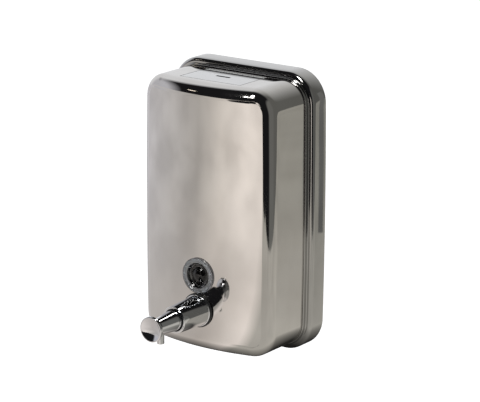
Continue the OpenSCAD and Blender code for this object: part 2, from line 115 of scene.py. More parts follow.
def fillet(points, closed=False):
    """Rounds each corner of a (u, v, radius) outline with an arc."""
    out = []
    count = len(points)
    for i, (u, v, radius) in enumerate(points):
        here = Vector((u, v))
        if radius == 0 or (not closed and i in (0, count - 1)):
            out.append(here)
            continue
        a = (Vector(points[i - 1][:2]) - here).normalized()
        b = (Vector(points[(i + 1) % count][:2]) - here).normalized()
        half = a.angle(b) / 2
        centre = here + (a + b).normalized() * (radius / math.sin(half))
        start = here + a * (radius / math.tan(half)) - centre
        end = here + b * (radius / math.tan(half)) - centre
        sweep = start.angle_signed(end)
        for k in range(FILLET_STEPS + 1):
            turn = Matrix.Rotation(-sweep * k / FILLET_STEPS, 2)
            out.append(centre + turn @ start)
    return out


def neighbours(loops, closed):
    """Each loop with the next one, and the last with the first if the profile is closed."""
    pairs = list(zip(loops, loops[1:]))
    if closed:
        pairs.append((loops[-1], loops[0]))
    return pairs


def bm_lathe(profile, z, closed):
    """Turns a (radius, depth) profile round the axis that runs forwards at height z."""
    bm = bmesh.new()
    rings = []
    angles = [2 * math.pi * k / TURN_STEPS for k in range(TURN_STEPS)]
    for radius, depth in profile:
        if radius < 1e-6:
            rings.append([bm.verts.new(place(0, depth, z))])
            continue
        circle = [place(radius * math.cos(a), depth, z + radius * math.sin(a)) for a in angles]
        rings.append([bm.verts.new(p) for p in circle])
    for inner, outer in neighbours(rings, closed):
        for k in range(TURN_STEPS):
            n = (k + 1) % TURN_STEPS
            near_side = [inner[k % len(inner)], inner[n % len(inner)]]
            far_side = [outer[n % len(outer)], outer[k % len(outer)]]
            unique = list(dict.fromkeys(near_side + far_side))
            if len(unique) > 2:
                bm.faces.new(unique)
    return bm


def outline(half_w, half_h, radius, edge_x, edge_z, corner):
    """Points (x, z, normal x, normal z) anticlockwise round a rounded rectangle.

    It starts at the middle of the lower right corner, and each of its four sides then has
    the same number of points as a grid's side, so that a grid can fill it.
    """
    points = []
    half_corner = corner // 2
    for quarter in range(4):
        start = -math.pi / 4 + quarter * math.pi / 2
        cx = (half_w - radius) * (1 if quarter in (0, 1) else -1)
        cz = (half_h - radius) * (1 if quarter in (1, 2) else -1)
        for k in range(half_corner):
            a = start + math.pi / 2 * k / corner
            points.append((cx + radius * math.cos(a), cz + radius * math.sin(a), math.cos(a), math.sin(a)))
        edge = edge_z if quarter % 2 == 0 else edge_x
        a = start + math.pi / 4
        nx, nz = math.cos(a), math.sin(a)
        next_quarter = (quarter + 1) % 4
        ex = (half_w - radius) * (1 if next_quarter in (0, 1) else -1)
        ez = (half_h - radius) * (1 if next_quarter in (1, 2) else -1)
        for k in range(edge):
            f = k / edge
            points.append((cx + (ex - cx) * f + radius * nx, cz + (ez - cz) * f + radius * nz, nx, nz))
        for k in range(half_corner):
            b = a + math.pi / 4 * k / half_corner
            points.append((ex + radius * math.cos(b), ez + radius * math.sin(b), math.cos(b), math.sin(b)))
    return points


def squeeze(x, z, half_h):
    """The drawn sides bulge: they come in a little towards the top and the bottom."""
    return x * (1 - SIDE_BULGE / SHELL_HALF_W * (z / half_h) ** 2)


def bridge(bm, loops, closed):
    """Joins loops of vertices, each with the same number of them, with bands of faces."""
    for a, b in neighbours(loops, closed):
        for k in range(len(a)):
            n = (k + 1) % len(a)
            bm.faces.new((a[k], a[n], b[n], b[k]))


def finish_mesh(name, bm):
    bmesh.ops.recalc_face_normals(bm, faces=bm.faces)
    mesh = bpy.data.meshes.new(name)
    bm.to_mesh(mesh)
    bm.free()
    obj = bpy.data.objects.new(name, mesh)
    bpy.context.scene.collection.objects.link(obj)
    return obj


def smooth(obj):
    obj.data.shade_smooth()
    obj.data.set_sharp_from_angle(angle=SMOOTH_ANGLE)


def apply_modifiers(obj):
    graph = bpy.context.evaluated_depsgraph_get()
    mesh = bpy.data.meshes.new_from_object(obj.evaluated_get(graph))
    obj.modifiers.clear()
    obj.data = mesh


def cut(obj, *cutters):
    """Takes the cutters' volume out of a piece, and removes the cutters."""
    for cutter in cutters:
        mod = obj.modifiers.new("cut", "BOOLEAN")
        mod.operation = "DIFFERENCE"
        mod.solver = "EXACT"
        mod.object = cutter
    apply_modifiers(obj)
    for cutter in cutters:
        bpy.data.objects.remove(cutter)


def prism(name, half_w, depths, heights, radius):
    """A box with rounded vertical edges, between two depths and two heights."""
    bm = bmesh.new()
    centre = sum(depths) / 2
    half_d = abs(depths[1] - depths[0]) / 2
    loops = []
    for z in heights:
        ring = [
            bm.verts.new(place(x, centre + d, z))
            for x, d, _, _ in outline(half_w, half_d, radius, 1, 1, PRISM_CORNER_STEPS)
        ]
        loops.append(ring)
    bridge(bm, loops, False)
    for loop in loops:
        bm.faces.new(loop)
    return finish_mesh(name, bm)


def rod(name, radius, depths, z):
    """A plain cutter along the forward axis at height z."""
    bm = bm_lathe([(0, depths[0]), (radius, depths[0]), (radius, depths[1]), (0, depths[1])], z, False)
    return finish_mesh(name, bm)


# ---- materials ----


def node_tree(name):
    mat = bpy.data.materials.new(name)
    mat.use_nodes = True
    tree = mat.node_tree
    shader = next(n for n in tree.nodes if n.type == "BSDF_PRINCIPLED")
    return mat, tree, shader


def stretched_noise(tree, stretch, scale, detail):
    """Noise in the part's own frame, stretched by a factor along each axis."""
    coords = tree.nodes.new("ShaderNodeTexCoord")
    mapping = tree.nodes.new("ShaderNodeMapping")
    mapping.inputs["Scale"].default_value = stretch
    noise = tree.nodes.new("ShaderNodeTexNoise")
    noise.inputs["Scale"].default_value = scale
    noise.inputs["Detail"].default_value = detail
    tree.links.new(coords.outputs["Object"], mapping.inputs["Vector"])
    tree.links.new(mapping.outputs["Vector"], noise.inputs["Vector"])
    return noise


def remap(tree, source, low, high, to_low, to_high):
    node = tree.nodes.new("ShaderNodeMapRange")
    node.inputs["From Min"].default_value = low
    node.inputs["From Max"].default_value = high
    node.inputs["To Min"].default_value = to_low
    node.inputs["To Max"].default_value = to_high
    tree.links.new(source, node.inputs["Value"])
    return node.outputs["Result"]


def bump(tree, height, distance, normal=None):
    node = tree.nodes.new("ShaderNodeBump")
    node.inputs["Distance"].default_value = distance
    node.inputs["Strength"].default_value = 1.0
    tree.links.new(height, node.inputs["Height"])
    if normal is not None:
        tree.links.new(normal, node.inputs["Normal"])
    return node.outputs["Normal"]


def colour_sockets(sockets):
    return [s for s in sockets if s.type == "RGBA"]


def feed(tree, socket, value):
    """Links a socket to another node, or sets it to a plain number or colour."""
    if isinstance(value, bpy.types.NodeSocket):
        tree.links.new(value, socket)
    elif isinstance(value, tuple):
        socket.default_value = (*value, 1)
    else:
        socket.default_value = value


def blend_colour(tree, factor, low, high):
    node = tree.nodes.new("ShaderNodeMix")
    node.data_type = "RGBA"
    tree.links.new(factor, next(s for s in node.inputs if s.type == "VALUE"))
    for socket, colour in zip(colour_sockets(node.inputs), (low, high)):
        feed(tree, socket, colour)
    return colour_sockets(node.outputs)[0]


def maths(tree, operation, a, b):
    node = tree.nodes.new("ShaderNodeMath")
    node.operation = operation
    feed(tree, node.inputs[0], a)
    feed(tree, node.inputs[1], b)
    return node.outputs["Value"]


def vector_length(tree, vector):
    node = tree.nodes.new("ShaderNodeVectorMath")
    node.operation = "LENGTH"
    tree.links.new(vector, node.inputs[0])
    return node.outputs["Value"]


def axes(tree, vector):
    node = tree.nodes.new("ShaderNodeSeparateXYZ")
    tree.links.new(vector, node.inputs["Vector"])
    return node.outputs["X"], node.outputs["Y"], node.outputs["Z"]


def ramp(tree, source, stops):
    """Colours along a number from 0 to 1, from a list of (place, colour) stops."""
    node = tree.nodes.new("ShaderNodeValToRGB")
    elements = node.color_ramp.elements
    elements.remove(elements[1])
    elements[0].position = stops[0][0]
    elements[0].color = (*stops[0][1], 1)
    for position, colour in stops[1:]:
        elements.new(position).color = (*colour, 1)
    tree.links.new(source, node.inputs["Fac"])
    return node.outputs["Color"]


# The range that most of a noise's values fall in.
NOISE_LOW, NOISE_HIGH = 0.3, 0.7


def vary(tree, noise, low, high):
    """Spreads a noise over the range from low to high."""
    return remap(tree, noise.outputs["Fac"], NOISE_LOW, NOISE_HIGH, low, high)


BLOTCH_STRETCH, BLOTCH_SCALE = (1, 1, 0.6), 38


def metal(name, dark, light, rough, grain, grain_depth, wave_scale=0.0, wave_depth=0.0):
    """Metal whose colour, polish and surface vary.

    rough is the least and most roughness. grain stretches the fine scratches along each
    axis. wave_scale and wave_depth give the slow waves of a drawn sheet.
    """
    mat, tree, shader = node_tree(name)
    blotch = stretched_noise(tree, BLOTCH_STRETCH, BLOTCH_SCALE, 3)
    fine = stretched_noise(tree, grain, 1, 2)
    shader.inputs["Metallic"].default_value = 1.0
    tree.links.new(blend_colour(tree, vary(tree, blotch, 0, 1), dark, light), shader.inputs["Base Color"])
    tree.links.new(vary(tree, blotch, *rough), shader.inputs["Roughness"])
    normal = bump(tree, fine.outputs["Fac"], grain_depth)
    if wave_depth:
        wave = stretched_noise(tree, (1, 1, 1), wave_scale, 1)
        normal = bump(tree, wave.outputs["Fac"], wave_depth, normal)
    tree.links.new(normal, shader.inputs["Normal"])
    return mat


def moulded_skin(tree, shader, skin, rough, depth):
    """The slight unevenness in polish and height of a moulded surface."""
    tree.links.new(vary(tree, skin, *rough), shader.inputs["Roughness"])
    tree.links.new(bump(tree, skin.outputs["Fac"], depth), shader.inputs["Normal"])


def plain_solid(name, dark, light, rough, scale, depth):
    """Rubber or moulded plastic with a fine skin."""
    mat, tree, shader = node_tree(name)
    skin = stretched_noise(tree, (1, 1, 1), scale, 4)
    tree.links.new(blend_colour(tree, vary(tree, skin, 0, 1), dark, light), shader.inputs["Base Color"])
    moulded_skin(tree, shader, skin, rough, depth)
    return mat


# Painted rings of the window, by the share of its radius: painted shade of the dark tank in its middle,
# painted highlights in the pale and white rings, and a painted shadow line at the rim.
LENS_PAINTED_RINGS = [
    (0.0, (0.02, 0.02, 0.02)),
    (0.42, (0.05, 0.05, 0.05)),
    (0.52, (0.62, 0.63, 0.64)),
    (0.64, (0.70, 0.71, 0.72)),
    (0.70, (0.06, 0.065, 0.07)),
    (0.76, (1.0, 1.0, 1.0)),
    (0.95, (0.92, 0.95, 0.98)),
    (0.99, (0.10, 0.10, 0.11)),
]
ACRYLIC_IOR = 1.49


def clear(name, rough, scale, depth):
    """Clear plastic with light and shade painted into its colour in rings: painted shade of the dark tank
    behind its middle, and painted highlights in pale rings towards its rim.
    """
    mat, tree, shader = node_tree(name)
    coords = tree.nodes.new("ShaderNodeTexCoord")
    centre = tree.nodes.new("ShaderNodeMapping")
    centre.inputs["Location"].default_value = (0, 0, -LENS_Z * MM)
    centre.inputs["Scale"].default_value = (1, 0, 1)
    tree.links.new(coords.outputs["Object"], centre.inputs["Vector"])
    radius = vector_length(tree, centre.outputs["Vector"])
    # Painted shade in the middle and painted highlights in rings, by the distance from the window's
    # middle.
    painted_rings = ramp(tree, remap(tree, radius, 0, LENS_R * MM, 0, 1), LENS_PAINTED_RINGS)
    tree.links.new(painted_rings, shader.inputs["Base Color"])
    shader.inputs["Transmission Weight"].default_value = 1.0
    shader.inputs["IOR"].default_value = ACRYLIC_IOR
    moulded_skin(tree, shader, stretched_noise(tree, (1, 1, 1), scale, 3), rough, depth)
    return mat


def galvanised(name, dark, light, rough, cell_scale, depth):
    """Zinc coated sheet with its spangle."""
    mat, tree, shader = node_tree(name)
    cells = tree.nodes.new("ShaderNodeTexVoronoi")
    cells.inputs["Scale"].default_value = cell_scale
    coords = tree.nodes.new("ShaderNodeTexCoord")
    tree.links.new(coords.outputs["Object"], cells.inputs["Vector"])
    split = tree.nodes.new("ShaderNodeSeparateColor")
    tree.links.new(cells.outputs["Color"], split.inputs["Color"])
    spangle = split.outputs["Red"]
    shader.inputs["Metallic"].default_value = 1.0
    tree.links.new(blend_colour(tree, spangle, dark, light), shader.inputs["Base Color"])
    tree.links.new(remap(tree, spangle, 0, 1, *rough), shader.inputs["Roughness"])
    fine = stretched_noise(tree, (1, 1, 1), 900, 3)
    tree.links.new(bump(tree, fine.outputs["Fac"], depth), shader.inputs["Normal"])
    return mat


def grey(value):
    return (value, value, value)


ROUND_GRAIN = (1500, 120, 1500)
ALONG_GRAIN = (60, 4200, 60)
EVEN_GRAIN = (900, 900, 900)
FINE_GRAIN = (500, 500, 500)
CAP_GRAIN = (700, 700, 700)
UPRIGHT_GRAIN = (900, 900, 90)
SCREW_GRAIN = (1200, 1200, 300)
ACROSS_GRAIN = (2400, 300, 300)

# Each metal's darkest and lightest colour, least and most roughness, grain and its depth in
# metres, and, for drawn sheet, the scale and depth of its waves.
METALS = {
    "brushed_skirt": (
        (0.49, 0.485, 0.475), (0.55, 0.545, 0.54), (0.05, 0.10), ALONG_GRAIN, 1e-7, 14, 4e-4,
    ),
    "inner_steel": ((0.50, 0.50, 0.49), (0.62, 0.62, 0.61), (0.28, 0.42), UPRIGHT_GRAIN, 6e-6),
    "zinc_screw": ((0.52, 0.54, 0.57), (0.66, 0.67, 0.68), (0.2, 0.35), SCREW_GRAIN, 5e-6),
    "polished_shell": (
        (0.63, 0.61, 0.59), (0.69, 0.675, 0.66), (0.03, 0.08), FINE_GRAIN, 6e-7, 16, 6e-4,
    ),
    "hinge_steel": ((0.46, 0.46, 0.45), (0.60, 0.60, 0.59), (0.2, 0.32), ACROSS_GRAIN, 5e-6),
    "polished_lid": (grey(0.64), grey(0.70), (0.05, 0.11), FINE_GRAIN, 6e-7, 24, 2e-4),
    "spring_steel": ((0.34, 0.35, 0.37), (0.50, 0.51, 0.52), (0.25, 0.4), EVEN_GRAIN, 4e-6),
    "valve_chrome": ((0.70, 0.71, 0.73), (0.78, 0.79, 0.80), (0.03, 0.06), ROUND_GRAIN, 1e-7),
    "cap_chrome": ((0.64, 0.645, 0.67), (0.71, 0.715, 0.735), (0.04, 0.09), CAP_GRAIN, 6e-7),
    "spout_steel": ((0.58, 0.59, 0.60), (0.68, 0.69, 0.70), (0.12, 0.22), UPRIGHT_GRAIN, 2e-6),
    "brass": ((0.58, 0.42, 0.16), (0.74, 0.57, 0.27), (0.2, 0.34), ROUND_GRAIN, 6e-6),
    "ball_steel": (grey(0.66), grey(0.74), (0.04, 0.1), EVEN_GRAIN, 1e-6),
}

# Each solid's darkest and lightest colour, least and most roughness, and its skin's scale
# and depth in metres.
SOLIDS = {
    "grey_rubber": ((0.46, 0.48, 0.50), (0.54, 0.56, 0.58), (0.45, 0.62), 1400, 2e-5),
    "black_rubber": ((0.008, 0.008, 0.009), (0.018, 0.018, 0.019), (0.38, 0.55), 1400, 2e-5),
    "white_plastic": ((0.78, 0.78, 0.75), (0.86, 0.86, 0.84), (0.3, 0.42), 700, 1e-5),
}

ZINC_DARK, ZINC_LIGHT = (0.42, 0.43, 0.44), (0.68, 0.69, 0.70)
MATERIALS = {
    "galvanised": galvanised("galvanised", ZINC_DARK, ZINC_LIGHT, (0.32, 0.55), 160, 2e-5),
    "clear_lens": clear("clear_lens", (0.01, 0.04), 260, 4e-6),
}
for slot_name, values in METALS.items():
    MATERIALS[slot_name] = metal(slot_name, *values)
for slot_name, values in SOLIDS.items():
    MATERIALS[slot_name] = plain_solid(slot_name, *values)


def piece(obj, body, slot, *nodes):
    """Gives a new piece its material and its body, and hides the CAD nodes that it stands for."""
    obj.data.materials.clear()
    obj.data.materials.append(MATERIALS[slot])
    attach(obj, body)
    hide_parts(*nodes)


for part in frame["record"]["subparts"]:
    cad = frame["nodes"][part["node"]]
    cad.data.materials.clear()
    cad.data.materials.append(MATERIALS[part["material_slot"]])


# ---- front shell ----

# Steps along the shell's short and long edges, round each corner, up its sides and round
# the edge of its face.
EDGE_X, EDGE_Z, CORNER = 44, 76, 24
SIDE_STEPS = 12
EDGE_STEPS = 16


def face_depth(x):
    """Depth of the bowed face at a distance x from its middle."""
    return FACE_DEPTH - (BOW_R - math.sqrt(BOW_R**2 - x**2))


def shell_section(x, z, nx, nz):
    """The shell's profile at one outline point, as (x, depth, z) from the rear to the face."""
    slope = math.asin(min(abs(x), SHELL_HALF_W) / BOW_R) * abs(nx)
    reach = FACE_FILLET * (1 - math.sin(slope))
    edge_x = x - nx * reach
    top = face_depth(edge_x) - FACE_FILLET * math.cos(slope)
    points = []
    for k in range(SIDE_STEPS):
        points.append((0, SHELL_REAR + (top - SHELL_REAR) * k / SIDE_STEPS))
    for k in range(EDGE_STEPS + 1):
        a = (math.pi / 2 - slope) * k / EDGE_STEPS
        points.append((FACE_FILLET * (1 - math.cos(a)), top + FACE_FILLET * math.sin(a)))
    section = []
    for inset, depth in points:
        lean = SIDE_DRAFT * (depth - SHELL_REAR) / (FACE_DEPTH - SHELL_REAR)
        offset = inset + lean * abs(nx)
        section.append((squeeze(x - nx * offset, z, SHELL_TOP), depth, z - nz * inset))
    return section


def coons(sides, columns, rows):
    """Fills four boundary curves of (x, z) points with a grid of inner points."""
    bottom, right, top, left = sides
    grid = {}
    for i in range(1, columns):
        u = i / columns
        for j in range(1, rows):
            v = j / rows
            along = bottom[i] * (1 - v) + top[i] * v + left[j] * (1 - u) + right[j] * u
            low_corners = bottom[0] * (1 - u) * (1 - v) + bottom[-1] * u * (1 - v)
            corners = low_corners + top[0] * (1 - u) * v + top[-1] * u * v
            grid[i, j] = along - corners
    return grid


def fill_face(bm, rim):
    """Fills the loop of vertices round the face with a grid that follows its bow."""
    columns, rows = EDGE_X + CORNER, EDGE_Z + CORNER
    half = rows + columns
    right = rim[0 : rows + 1]
    top = rim[rows : half + 1][::-1]
    left = rim[half : half + rows + 1][::-1]
    bottom = rim[half + rows :] + [rim[0]]
    curves = [[Vector((v.co.x, v.co.z)) for v in side] for side in (bottom, right, top, left)]
    verts = {}
    for i in range(columns + 1):
        verts[i, 0], verts[i, rows] = bottom[i], top[i]
    for j in range(rows + 1):
        verts[0, j], verts[columns, j] = left[j], right[j]
    for (i, j), p in coons(curves, columns, rows).items():
        verts[i, j] = bm.verts.new(place(p.x / MM, face_depth(p.x / MM), p.y / MM))
    for i in range(columns):
        for j in range(rows):
            bm.faces.new((verts[i, j], verts[i + 1, j], verts[i + 1, j + 1], verts[i, j + 1]))


def build_front_shell():
    bm = bmesh.new()
    points = outline(SHELL_HALF_W, SHELL_TOP, SHELL_CORNER, EDGE_X, EDGE_Z, CORNER)
    sections = [shell_section(*p) for p in points]
    loops = []
    for level in zip(*sections):
        loops.append([bm.verts.new(place(*point)) for point in level])
    bridge(bm, loops, False)
    fill_face(bm, loops[-1])
    shell = finish_mesh("drawn_front_shell", bm)
    thick = shell.modifiers.new("sheet", "SOLIDIFY")
    thick.thickness = SHEET * MM
    thick.offset = -1
    apply_modifiers(shell)
    opening = prism(
        "opening_cutter",
        LID_HALF_W + OPENING_MARGIN,
        (OPENING_REAR, LID_FRONT + OPENING_MARGIN),
        (SHELL_TOP - 3 * SHEET, SHELL_TOP + 3 * SHEET),
        OPENING_CORNER,
    )
    through = (FACE_DEPTH - 6 * SHEET, FACE_DEPTH + 3 * SHEET)
    window = rod("window_cutter", HOLE_R, through, LENS_Z)
    valve = rod("valve_cutter", HOLE_R, through, VALVE_Z)
    cut(shell, opening, window, valve)
    smooth(shell)
    piece(shell, "case", "polished_shell", "front_shell")


build_front_shell()


# ---- wall skirt ----

# Steps along the skirt's short and long edges and round each corner.
SKIRT_STEPS = (40, 72, 32)


def build_skirt():
    collar = SHELL_INSET - COLLAR_T
    profile = fillet(
        [
            (0, 0, 0.3),
            (0, SKIRT_DEPTH, SHOULDER_R),
            (collar, SKIRT_DEPTH, 0.6),
            (collar, COLLAR_FRONT, 0.35),
            (SHELL_INSET, COLLAR_FRONT, 0.2),
            (SHELL_INSET, SKIRT_DEPTH - SHEET, 0),
            (SHEET, SKIRT_DEPTH - SHEET, SHOULDER_R - SHEET),
            (SHEET, 0, 0.3),
        ],
        closed=True,
    )
    bm = bmesh.new()
    points = outline(SKIRT_HALF_W, SKIRT_TOP, SKIRT_CORNER, *SKIRT_STEPS)
    loops = []
    for inset, depth in profile:
        loop = []
        for x, z, nx, nz in points:
            side_x = squeeze(x - nx * inset, z, SKIRT_TOP)
            loop.append(bm.verts.new(place(side_x, depth, z - nz * inset)))
        loops.append(loop)
    bridge(bm, loops, True)
    skirt = finish_mesh("drawn_wall_skirt", bm)
    smooth(skirt)
    piece(skirt, "case", "brushed_skirt", "rear_shell")


build_skirt()


# ---- filler lid ----


def build_lid():
    depths, heights = (LID_REAR, LID_FRONT), (LID_LOW, LID_TOP)
    lid = prism("pressed_filler_lid", LID_HALF_W, depths, heights, LID_CORNER)
    through = (LID_LOW - SHEET, LID_TOP + SHEET)
    slot = prism("slot_cutter", KEY_SLOT_HALF_W, KEY_SLOT_DEPTHS, through, KEY_SLOT_CORNER)
    cut(lid, slot)
    smooth(lid)
    edge = lid.modifiers.new("edge", "BEVEL")
    edge.width = LID_EDGE * MM
    edge.segments = 3
    edge.limit_method = "ANGLE"
    even = lid.modifiers.new("even", "WEIGHTED_NORMAL")
    even.keep_sharp = True
    even.weight = 100
    apply_modifiers(lid)
    piece(lid, "lid", "polished_lid", "filler_lid")


build_lid()


# ---- contents window ----


def lathe_piece(name, profile, z, body, slot, node, closed=True):
    """A turned piece from its (radius, depth, fillet) profile."""
    obj = finish_mesh(name, bm_lathe(fillet(profile, closed), z, closed))
    smooth(obj)
    piece(obj, body, slot, node)


def build_lens():
    """A clear screwed-in window: a stepped dish with a raised bullseye in its middle."""
    bore, body, flange = 6.6, 9.0, 1.1
    pane_rear = LENS_REAR + 5
    eye_r, eye_round, eye_steps = 6.0, 8.5, 16
    eye_edge = math.asin(eye_r / eye_round)
    floor_depth = LENS_FRONT - 2.4
    # Each step's distance in from the rim and back from the front, and its fillet.
    steps = [(1.6, 0, 0.35), (2.4, 0.6, 0.5), (3.2, 0.4, 0.6), (5.0, 1.8, 1.4)]
    eye = []
    for k in range(1, eye_steps + 1):
        a = eye_edge * (1 - k / eye_steps)
        rise = eye_round * (math.cos(a) - math.cos(eye_edge))
        eye.append((eye_round * math.sin(a), floor_depth + rise, 0))
    profile = [
        (0, pane_rear, 0),
        (bore, pane_rear, 0.3),
        (bore, LENS_REAR, 0.3),
        (body, LENS_REAR, 0.3),
        (body, LENS_FRONT - flange, 0.2),
        (LENS_R, LENS_FRONT - flange, 0.2),
        (LENS_R, LENS_FRONT, 0.4),
    ]
    profile += [(LENS_R - inset, LENS_FRONT - back, radius) for inset, back, radius in steps]
    profile += [(eye_r, floor_depth, 0.2)] + eye
    lathe_piece("moulded_window_lens", profile, LENS_Z, "case", "clear_lens", "window_lens", False)


build_lens()


# ---- push valve ----

TAIL_R = 9.0
BARREL_BORE_R = 8.0
BARREL_MOUTH_R = 9.8
FLANGE_T = 1.0
FLANGE_STEP = 0.6
WIPER_LIP = 2.3
NECK_R = 7.45
NECK_BORE_R = NECK_R + 0.05
NECK_FRONT_R = 5.6
NECK_STRAIGHT = BARREL_FRONT + 3.4
GUIDE_FRONT = WIPER_REAR - WIPER_LIP - 0.1
GUIDE_REAR = GUIDE_FRONT - 6
CHANNEL_R = 1.2
SPIGOT_R = 3.0
SPIGOT_LEN = 4.0
STEM_R = 4.0

TURNED_PIECES = [
    (
        "turned_valve_gasket",
        [
            (TAIL_R, GASKET_REAR, 0),
            (GASKET_R, GASKET_REAR, 0.3),
            (GASKET_R, GASKET_FRONT, 0.5),
            (TAIL_R, GASKET_FRONT, 0),
        ],
        ("case", "black_rubber", "valve_gasket"),
    ),
    (
        "turned_valve_barrel",
        [
            (BARREL_BORE_R, BARREL_REAR, 0.3),
            (TAIL_R, BARREL_REAR, 0.3),
            (TAIL_R, GASKET_FRONT, 0),
            (FLANGE_R, GASKET_FRONT, 0.25),
            (FLANGE_R, GASKET_FRONT + FLANGE_T, 0.35),
            (FLANGE_R - FLANGE_STEP, GASKET_FRONT + FLANGE_T, 0.2),
            (BARREL_MOUTH_R, BARREL_FRONT, 0.5),
            (WIPER_R, BARREL_FRONT, 0.3),
            (WIPER_R, WIPER_REAR, 0),
            (NECK_BORE_R, WIPER_REAR, 0),
            (NECK_BORE_R, WIPER_REAR - WIPER_LIP, 0),
            (BARREL_BORE_R, WIPER_REAR - WIPER_LIP, 0),
        ],
        ("case", "valve_chrome", "valve_barrel"),
    ),
    (
        "moulded_wiper_ring",
        [
            (NECK_BORE_R, WIPER_REAR, 0),
            (WIPER_R, WIPER_REAR, 0),
            (WIPER_R, WIPER_FRONT, 0.2),
            (NECK_BORE_R, WIPER_FRONT, 0.4),
        ],
        ("case", "black_rubber", "wiper_ring"),
    ),
    (
        "turned_plunger",
        [
            (CHANNEL_R, PLUNGER_REAR, 0),
            (SPIGOT_R, PLUNGER_REAR, 0),
            (SPIGOT_R, PLUNGER_REAR + SPIGOT_LEN, 0),
            (STEM_R, PLUNGER_REAR + SPIGOT_LEN, 0.3),
            (STEM_R, GUIDE_REAR, 0.3),
            (GUIDE_R, GUIDE_REAR, 0.4),
            (GUIDE_R, GUIDE_FRONT, 0.2),
            (NECK_R, GUIDE_FRONT, 0),
            (NECK_R, NECK_STRAIGHT, 3.0),
            (NECK_FRONT_R, CAP_REAR, 0),
            (SPIGOT_R, CAP_REAR, 0),
            (SPIGOT_R, PLUNGER_FRONT, 0),
            (CHANNEL_R, PLUNGER_FRONT, 0),
        ],
        ("push_valve", "valve_chrome", "plunger"),
    ),
]
for turned_name, turned_profile, turned_place in TURNED_PIECES:
    lathe_piece(turned_name, turned_profile, VALVE_Z, *turned_place)


def build_cap():
    """A cap with a shallow dish in its front and a thin rolled lip."""
    lip, lip_round = 0.8, 0.35
    dish, side = 2.1, 2.4
    hub_r, hub_len, hub_taper = NECK_FRONT_R + 0.5, 1.8, 0.4
    dish_edge = CAP_R - lip
    dish_r = (dish_edge**2 + dish**2) / (2 * dish)
    dish_a = math.asin(dish_edge / dish_r)
    steps = 20
    bowl = []
    for k in range(steps + 1):
        a = dish_a * (1 - k / steps)
        depth = CAP_FRONT - dish + dish_r * (1 - math.cos(a))
        bowl.append((dish_r * math.sin(a), depth, lip_round if k == 0 else 0))
    profile = [
        (0, PLUNGER_FRONT, 0),
        (SPIGOT_R, PLUNGER_FRONT, 0),
        (SPIGOT_R, CAP_REAR, 0),
        (hub_r, CAP_REAR, 0.3),
        (hub_r + hub_taper, CAP_REAR + hub_len, 0.8),
        (CAP_R, CAP_FRONT - side, 0.7),
        (CAP_R, CAP_FRONT - 0.1, 0.5),
    ] + bowl
    lathe_piece("dished_push_cap", profile, VALVE_Z, "push_valve", "cap_chrome", "push_cap", False)


build_cap()


def build_spout():
    """A short tube that leaves the neck downwards."""
    bm = bmesh.new()
    sides = 48
    bore_r = SPOUT_R - 1.0
    profile = fillet(
        [
            (bore_r, SPOUT_TOP, 0),
            (SPOUT_R, SPOUT_TOP, 0),
            (SPOUT_R, SPOUT_LOW, 0.35),
            (bore_r, SPOUT_LOW, 0.35),
        ],
        closed=True,
    )
    angles = [2 * math.pi * k / sides for k in range(sides)]
    loops = []
    for radius, z in profile:
        circle = [place(radius * math.cos(a), SPOUT_DEPTH + radius * math.sin(a), z) for a in angles]
        loops.append([bm.verts.new(p) for p in circle])
    bridge(bm, loops, True)
    spout = finish_mesh("bent_spout", bm)
    smooth(spout)
    piece(spout, "push_valve", "spout_steel", "spout")


build_spout()


# ---- studio ----

# The camera's angles in degrees, its lens and sensor in millimetres, and its distance from
# the point it looks at, with that point's offsets to the right and upwards, in metres.
CAMERA_AZIMUTH, CAMERA_ELEVATION, CAMERA_ROLL = 35.61, 15.39, 0.31
CAMERA_LENS, CAMERA_SENSOR = 176.94, 36
CAMERA_DISTANCE = 1.68962
AIM = Vector((0, -0.040, 0))
AIM_RIGHT, AIM_UP = 0.01307, 0.00682


def direction(azimuth, elevation):
    """Unit vector at an angle from straight in front, positive to the right, and above level."""
    a, e = math.radians(azimuth), math.radians(elevation)
    return Vector((math.sin(a) * math.cos(e), -math.cos(a) * math.cos(e), math.sin(e)))


def add_camera():
    azimuth, roll = math.radians(CAMERA_AZIMUTH), math.radians(CAMERA_ROLL)
    back_axis = direction(CAMERA_AZIMUTH, CAMERA_ELEVATION)
    level = Vector((math.cos(azimuth), math.sin(azimuth), 0))
    upright = back_axis.cross(level)
    right = math.cos(roll) * level + math.sin(roll) * upright
    up = -math.sin(roll) * level + math.cos(roll) * upright
    data = bpy.data.cameras.new("camera")
    data.lens = CAMERA_LENS
    data.sensor_width = CAMERA_SENSOR
    data.clip_start = 0.1
    data.clip_end = 60
    camera = bpy.data.objects.new("camera", data)
    turn = Matrix((right, up, back_axis)).transposed().to_4x4()
    target = AIM + AIM_RIGHT * right + AIM_UP * up
    camera.matrix_world = Matrix.Translation(target + CAMERA_DISTANCE * back_axis) @ turn
    bpy.context.scene.collection.objects.link(camera)
    bpy.context.scene.camera = camera


add_camera()


DARK = (0.012, 0.012, 0.013)
# The tones of the room from left to right.
FRONT_TONES = [(0.08, (0.62, 0.62, 0.66)), (0.13, DARK), (0.83, DARK), (0.89, (0.17, 0.17, 0.16))]
BACKDROP_TONES = [(0, (0.86, 0.87, 0.89)), (0.45, (0.60, 0.60, 0.59)), (1, (0.14, 0.14, 0.13))]


def room_colour(tree):
    """What the steel reflects all round.

    The front is dark with a pale left end and a dim right end, and the backdrop goes from
    pale on the left to dim on the right.
    """
    coords = tree.nodes.new("ShaderNodeTexCoord")
    x, y, _ = axes(tree, coords.outputs["Generated"])
    behind = remap(tree, y, -0.15, 0.12, 0, 1)
    across = remap(tree, x, -0.6, 0.5, 0, 1)
    sideways = remap(tree, x, -1, 1, 0, 1)
    backdrop = ramp(tree, across, BACKDROP_TONES)
    front = ramp(tree, sideways, FRONT_TONES)
    return blend_colour(tree, behind, front, backdrop)


